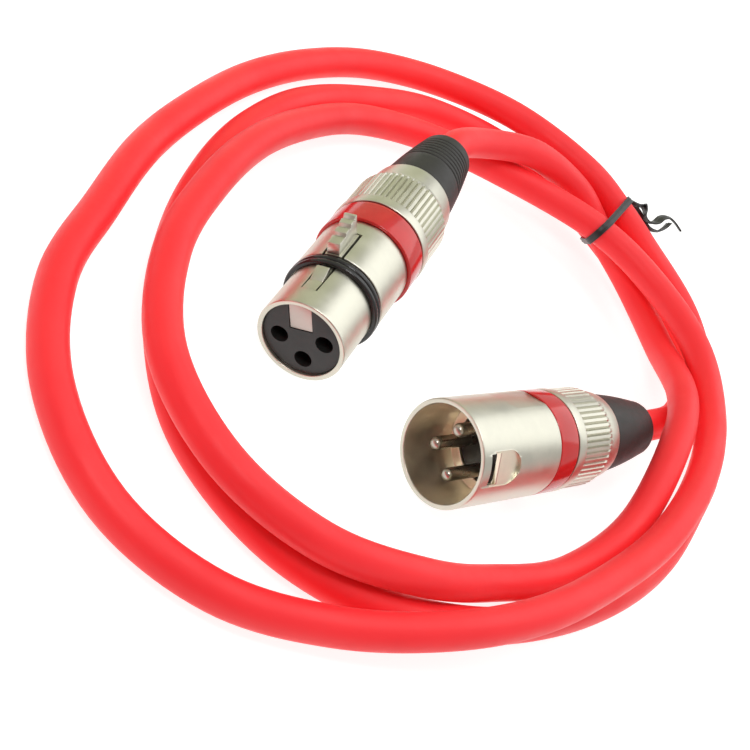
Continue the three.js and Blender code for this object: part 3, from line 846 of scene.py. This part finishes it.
def build_latch():
    """The latch: a tongue with a ramped hook, a curved plate and a stepped thumb ridge."""
    tongue_front = ARM_FRONT + 0.03
    tongue = [(tongue_front, 7.3), (14.6, 7.3), (14.6, 7.9), (8.0, 7.85), (6.9, 7.8), (tongue_front, 8.0)]
    latch = sector("female_latch_body", tongue, ARM_HALF, FEMALE_PLACE)
    plate_line = [(13.45, 7.7), (PLATE_BACK, 7.7), (PLATE_BACK, 8.8), (13.45, 8.8)]
    plate = sector("plate", plate_line, PLATE_HALF, FEMALE_PLACE)
    hook = cross_prism("hook", HOOK_LINE, ARM_HALF - 0.02, FEMALE_PLACE)
    ridge = cross_prism("ridge", RIDGE_LINE, RIDGE_HALF, FEMALE_PLACE)
    soften(plate, 0.10, 2, 30)
    soften(hook, 0.12, 2, 30)
    soften(ridge, 0.09, 2, 20)
    combine(latch, [plate, hook, ridge], "UNION")
    smooth_faces(latch)
    return finish_piece(latch, "satin_nickel", "female_latch", stands_for=["female_latch"])


def build_seal_ring():
    """A black ring with two shallow rounded lobes."""
    profile = [(F["seal_front"], F["barrel_r"] + 0.1)]
    half = (F["seal_back"] - F["seal_front"]) / 2
    swell = 0.35
    for lobe in range(2):
        centre = F["seal_front"] + half * (lobe + 0.5)
        for k in range(9):
            angle = math.pi * (k / 8)
            reach = F["seal_r"] - swell + swell * math.sin(angle)
            profile.append((centre - half / 2 * math.cos(angle), reach))
    profile.append((F["seal_back"], F["barrel_r"] + 0.1))
    ring = turned("female_seal_body", profile, FEMALE_PLACE, 160)
    return finish_piece(ring, "seal_rubber", "coil", ["female_seal_ring"])


def build_female_insert():
    profile = rounded([
        (0.6, 0),
        (0.6, F["bore_r"] - 0.05),
        (F["insert_back"], F["bore_r"] - SEAT_GAP),
        (F["insert_back"], 0),
    ], 0.15, 3, closed=False)
    insert = turned("female_insert_body", profile, FEMALE_PLACE, 96)
    cutters = [
        turned("bore", [(-1, 0), (-1, 1.6), (26, 1.6), (26, 0)], contact_place(FEMALE_PLACE, i), 40)
        for i in range(3)
    ]
    cutters.append(box_piece("key_cutter", (0, 9.4), (-2.1, 2.1), (1.8, 9), FEMALE_PLACE))
    cutters.append(box_piece("spring_cutter", (9.0, 26), (-2.2, 2.2), (5.2, 9), FEMALE_PLACE))
    combine(insert, cutters, "DIFFERENCE")
    smooth_faces(insert)
    return finish_piece(insert, "black_insulator", "coil", stands_for=["female_insert"])


def build_face_key():
    key = box_piece("female_key_body", (0.7, 9.2), (-2.05, 2.05), (1.87, 6.72), FEMALE_PLACE)
    soften(key, 0.12, 2)
    return finish_piece(key, "key_nickel", "coil", ["female_face_key"])


def build_contact(i):
    shoulder = F["insert_back"] + SEAT_GAP
    back = shoulder + CUP_LENGTH
    profile = rounded([
        (back - 1.8, 0),
        (back - 1.8, 1.2),
        (back, 1.2),
        (back, 1.9),
        (shoulder, 1.9),
        (shoulder, 1.5),
        (5.0, 1.5),
        (5.0, 1.25),
        (16, 1.15),
        (16, 0),
    ], 0.12, 2, closed=False)
    contact = turned(f"female_contact_{i + 1}_turned", profile, contact_place(FEMALE_PLACE, i), 40)
    return finish_piece(contact, "contact_plate", "coil", stands_for=[f"female_contact_{i + 1}"])


def build_female():
    build_female_shell()
    build_latch()
    build_seal_ring()
    build_female_insert()
    build_face_key()
    for i in range(3):
        build_contact(i)
    ring = build_coding_ring(
        "female_ring_body", FEMALE_PLACE, F["ring_front"], F["ring_back"], F["ring_inner"], F["ring_r"])
    finish_piece(ring, "red_plastic", "coil", stands_for=["female_coding_ring"])
    nut = build_nut("female_nut_body", FEMALE_PLACE, F)
    finish_piece(nut, "satin_nickel", "female_back_nut", stands_for=["female_back_nut"])
    boot = build_boot("female_boot_body", FEMALE_PLACE, F, 0.25, (54.5, 1.25, 7))
    finish_piece(boot, "black_rubber", "female_boot", stands_for=["female_boot"])


# ---- Twist tie ----
TIE_PLACE = Matrix.Translation(Vector((70.7, 22.6, 0)) * MM) @ Matrix.Rotation(math.radians(-63.2), 4, "Z")
TIE_PLACE = TIE_PLACE @ Matrix.Scale(MM, 4)
TIE_DISTANCE = CABLE_R + 0.35


def loop_line(centres, distance, steps=10):
    """A closed line pulled round the outside of circles with the given centres, counterclockwise."""
    line = []
    count = len(centres)
    for i, centre in enumerate(centres):
        before = centre - centres[i - 1]
        after = centres[(i + 1) % count] - centre
        arrive = math.atan2(before[1], before[0]) - math.pi / 2
        leave = math.atan2(after[1], after[0]) - math.pi / 2
        while leave < arrive:
            leave += 2 * math.pi
        for k in range(steps + 1):
            angle = arrive + (leave - arrive) * k / steps
            line.append((centre[0] + distance * math.cos(angle), centre[1] + distance * math.sin(angle)))
    return line


def strip(name, line, width, thickness, place, closed, along, twist=0.0):
    """A thin strip with a raised wire in its middle, swept along a line of 3D points."""
    section = [(-1.0, -0.5), (-0.35, -0.5), (0.0, -0.95), (0.35, -0.5), (1.0, -0.5),
               (1.0, 0.5), (0.35, 0.5), (0.0, 0.95), (-0.35, 0.5), (-1.0, 0.5)]
    points = [Vector(p) for p in line]
    vertices = []
    side = Vector(along)
    count = len(points)
    for i, point in enumerate(points):
        ahead = points[(i + 1) % count] if closed or i + 1 < count else point
        behind = points[i - 1] if closed or i > 0 else point
        tangent = (ahead - behind).normalized()
        side = (side - tangent * side.dot(tangent)).normalized()
        turn = Matrix.Rotation(twist * i, 3, tangent)
        across = turn @ side
        normal = tangent.cross(across)
        for u, v in section:
            vertices.append(point + across * u * width / 2 + normal * v * thickness)
    size = len(section)
    faces = []
    for i in range(count if closed else count - 1):
        for k in range(size):
            after = (k + 1) % size
            here = i * size
            there = ((i + 1) % count) * size
            faces.append([here + k, here + after, there + after, there + k])
    if not closed:
        faces.append(list(range(size)))
        faces.append(list(range((count - 1) * size, count * size)))
    piece = mesh_object(name, vertices, faces, place)
    smooth_faces(piece, 50)
    return piece


def tie_plane(point):
    local = TIE_PLACE.inverted() @ (Vector(point) * MM)
    return Vector((local[1], local[2]))


# The two tails' routes, from the knot.
LONG_TAIL = [
    (0.4, -0.4, -0.2), (2.4, 0.8, 0.2), (3.5, 2.9, 0.5), (4.6, 2.0, 0.3), (5.6, 0.7, -0.3), (7.0, 0.9, -0.4),
    (8.2, 2.9, 0.0), (8.5, 5.6, 0.6), (9.7, 8.1, 0.8), (11.5, 9.1, 0.6), (14.0, 9.3, 0.2),
]
SHORT_TAIL = [
    (-0.5, -0.4, -0.2), (2.0, 0.6, -0.3), (4.0, 1.5, -0.9), (6.0, 1.4, -1.4),
    (8.0, 1.3, -1.6), (9.9, 2.9, -1.4), (10.7, 5.9, -1.0), (10.9, 9.1, -0.6),
]


def build_tie():
    centres = [tie_plane(p) for p in (TIED_LOW, TIED_TOP, TIED_LEFT)]
    line = [(0, y, z) for y, z in loop_line(centres, TIE_DISTANCE)]
    band = strip("tie_band", line, 1.6, 0.26, TIE_PLACE, True, (1, 0, 0))
    finish_piece(band, "tie_plastic", "coil", stands_for=["twist_tie"])
    knot = Vector((0, centres[1][0] + TIE_DISTANCE * 0.9, centres[1][1] + TIE_DISTANCE * 0.55))
    pieces = [band]
    for name, route, width in (("tie_tail_long", LONG_TAIL, 2.2), ("tie_tail_short", SHORT_TAIL, 1.4)):
        points = smooth_line([knot + Vector(p) for p in route], 8)
        tail = strip(name, points, width, 0.30, TIE_PLACE, False, (0.5, 0, 1), 0.012)
        pieces.append(finish_piece(tail, "tie_plastic", "coil"))
    return pieces


# ---- Pieces carried over from the CAD model ----
def finish_hidden_nodes():
    looks = {"female_latch_spring": "spring_brass"}
    for side in ("male", "female"):
        looks[f"{side}_drain_wire"] = "copper"
        looks[f"{side}_core_a"] = "white_insulation"
        looks[f"{side}_core_b"] = "blue_insulation"
        looks[f"{side}_chuck"] = "white_plastic"
    for name, look in looks.items():
        node = frame["nodes"][name]
        node.data.materials.clear()
        node.data.materials.append(MATERIALS[look])


# ---- Studio ----
def build_floor():
    """A plain pale floor with a glow of its own, which keeps the shadows faint."""
    side = 1.6
    corners = [(-side, -side, 0), (side, -side, 0), (side, side, 0), (-side, side, 0)]
    floor = mesh_object("floor", corners, [[0, 1, 2, 3]])
    material, shader = new_material("floor", (0.40, 0.40, 0.40), 0.9, specular=0.1)
    shader.inputs["Emission Color"].default_value = (1.0, 1.0, 0.99, 1.0)
    shader.inputs["Emission Strength"].default_value = 0.85
    floor.data.materials.append(material)
    floor.location.z = -0.0002


def area_light(name, at, size, power):
    """A white rectangle of light that faces the origin."""
    data = bpy.data.lights.new(name, "AREA")
    data.shape = "RECTANGLE"
    data.size = size[0]
    data.size_y = size[1]
    data.energy = power
    light = bpy.data.objects.new(name, data)
    light.location = at
    light.rotation_mode = "QUATERNION"
    light.rotation_quaternion = (-Vector(at)).to_track_quat("-Z", "Y")
    bpy.context.scene.collection.objects.link(light)


def build_card(name, corners, colour):
    """A dull card for the metal to reflect, which the camera does not see."""
    card = mesh_object(name, corners, [[0, 1, 2, 3]])
    material, _ = new_material(name, colour, 0.9, specular=0.0)
    card.data.materials.append(material)
    card.visible_camera = False


def build_cards():
    far_side = [(-0.45, 0.5, 0.02), (0.55, 0.5, 0.02), (0.55, 0.5, 0.62), (-0.45, 0.5, 0.62)]
    build_card("far_card", far_side, (0.58, 0.60, 0.44))
    middle = CAMERA_AT * 1.25
    reach = 0.26
    corners = [
        middle + CAMERA_RIGHT * across * reach + CAMERA_UP * upward * reach
        for across, upward in ((-1, -1), (1, -1), (1, 1), (-1, 1))
    ]
    build_card("near_card", corners, (0.30, 0.25, 0.23))


def build_studio():
    build_floor()
    build_cards()
    area_light("overhead", (0.05, 0.05, 0.75), (0.55, 0.40), 1.55)
    area_light("key", (0.56, 0.02, 0.54), (0.70, 0.70), 1.65)
    fill_at = CAMERA_AT + CAMERA_UP * 0.09 + CAMERA_RIGHT * 0.03
    area_light("fill", fill_at, (0.05, 0.05), 0.17)
    world = bpy.data.worlds.new("studio")
    world.use_nodes = True
    background = world.node_tree.nodes["Background"]
    background.inputs["Color"].default_value = (1.0, 1.0, 0.98, 1.0)
    background.inputs["Strength"].default_value = 0.66
    bpy.context.scene.world = world
    bpy.context.scene.view_settings.view_transform = "Standard"


cable = build_cable()
build_male()
build_female()
tie = build_tie()
finish_hidden_nodes()
build_studio()
